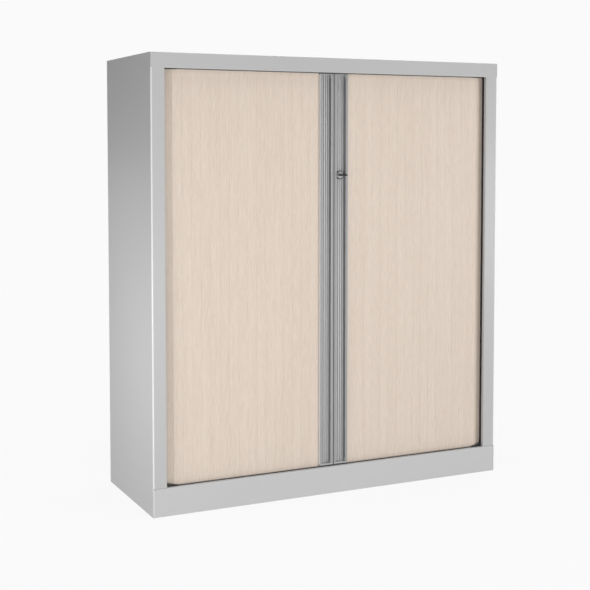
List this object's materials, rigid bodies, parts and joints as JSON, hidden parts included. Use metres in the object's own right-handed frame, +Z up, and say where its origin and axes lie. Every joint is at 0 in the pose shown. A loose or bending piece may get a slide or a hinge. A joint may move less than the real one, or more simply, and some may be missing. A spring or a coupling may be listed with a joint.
{
  "type": "tambour door cupboard",
  "caption": "Steel storage cupboard with two side-opening roll fronts of upright slats, ribbed centre grips, a key lock, shelves and levelling feet",
  "frame": {"origin": "on the floor, under the middle of the carcase's footprint", "axes": "+Z up, the roll fronts face -Y, +X to the right of someone facing them"},
  "size_m": [1.2, 0.4412, 1.36],
  "materials": {
    "carcase_paint": "fine-grained aluminium-grey powder coat",
    "inner_paint": "light grey powder coat",
    "wood_decor": "pale oak decor film with fine upright grain",
    "grip_aluminium": "satin anodised",
    "grey_plastic": "moulded light grey",
    "black_track": "black moulded",
    "black_plastic": "black moulded",
    "seal_rubber": "dark rubber",
    "lock_chrome": "nickel plated",
    "zinc_steel": "bright zinc",
    "key_steel": "nickel plated",
    "key_plastic": "black moulded"
  },
  "bodies": {
    "carcase": {"access_plugs": "black_plastic", "back_panel": "carcase_paint", "back_rivets": "zinc_steel", "ceiling_panel": "inner_paint", "floor_panel": "inner_paint", "foot_inserts": "zinc_steel", "left_base_channel": "carcase_paint", "left_curtain_front_slats": "wood_decor", "left_curtain_tail_slats": "wood_decor", "left_inner_panel": "inner_paint", "left_lower_corner_guide": "black_track", "left_lower_side_track": "black_track", "left_side_panel": "carcase_paint", "left_upper_corner_guide": "black_track", "left_upper_side_track": "black_track", "lower_front_track": "black_track", "lower_shelf": "inner_paint", "middle_shelf": "inner_paint", "plinth_back": "carcase_paint", "plinth_front": "carcase_paint", "rear_liner": "inner_paint", "right_base_channel": "carcase_paint", "right_curtain_front_slats": "wood_decor", "right_curtain_tail_slats": "wood_decor", "right_inner_panel": "inner_paint", "right_lower_corner_guide": "black_track", "right_lower_side_track": "black_track", "right_side_panel": "carcase_paint", "right_upper_corner_guide": "black_track", "right_upper_side_track": "black_track", "shelf_clips": "zinc_steel", "top_panel": "carcase_paint", "top_stiffener": "carcase_paint", "upper_front_track": "black_track", "upper_shelf": "inner_paint"},
    "left_shutter": {"left_grip": "grip_aluminium", "left_grip_lower_cap": "grey_plastic", "left_grip_upper_cap": "grey_plastic", "keeper": "zinc_steel", "keeper_screws": "zinc_steel", "closing_seal": "seal_rubber"},
    "right_shutter": {"right_grip": "grip_aluminium", "right_grip_lower_cap": "grey_plastic", "right_grip_upper_cap": "grey_plastic", "lock_body": "lock_chrome", "lock_nut": "zinc_steel"},
    "key_barrel": {"lock_plug": "lock_chrome", "lock_cam": "zinc_steel", "cam_screw": "zinc_steel", "key_blade": "key_steel", "key_cover": "key_plastic"},
    "left_front_foot": {"left_front_foot": "black_plastic"},
    "left_rear_foot": {"left_rear_foot": "black_plastic"},
    "right_front_foot": {"right_front_foot": "black_plastic"},
    "right_rear_foot": {"right_rear_foot": "black_plastic"}
  },
  "joints": [
    {"name": "left_shutter_slide", "type": "slide", "parent": "carcase", "child": "left_shutter", "axis": [-1, 0, 0], "range_m": [0, 0.47], "deforming": ["left_curtain_front_slats"]},
    {"name": "right_shutter_slide", "type": "slide", "parent": "carcase", "child": "right_shutter", "axis": [1, 0, 0], "range_m": [0, 0.47], "deforming": ["right_curtain_front_slats"]},
    {"name": "key_turn", "type": "hinge", "parent": "right_shutter", "child": "key_barrel", "pos_m": [0.025, -0.18, 0.999], "axis": [0, -1, 0], "range_deg": [0, 90]},
    {"name": "left_front_foot_screw", "type": "slide", "parent": "carcase", "child": "left_front_foot", "axis": [0, 0, -1], "range_m": [0, 0.012]},
    {"name": "left_rear_foot_screw", "type": "slide", "parent": "carcase", "child": "left_rear_foot", "axis": [0, 0, -1], "range_m": [0, 0.012]},
    {"name": "right_front_foot_screw", "type": "slide", "parent": "carcase", "child": "right_front_foot", "axis": [0, 0, -1], "range_m": [0, 0.012]},
    {"name": "right_rear_foot_screw", "type": "slide", "parent": "carcase", "child": "right_rear_foot", "axis": [0, 0, -1], "range_m": [0, 0.012]}
  ]
}
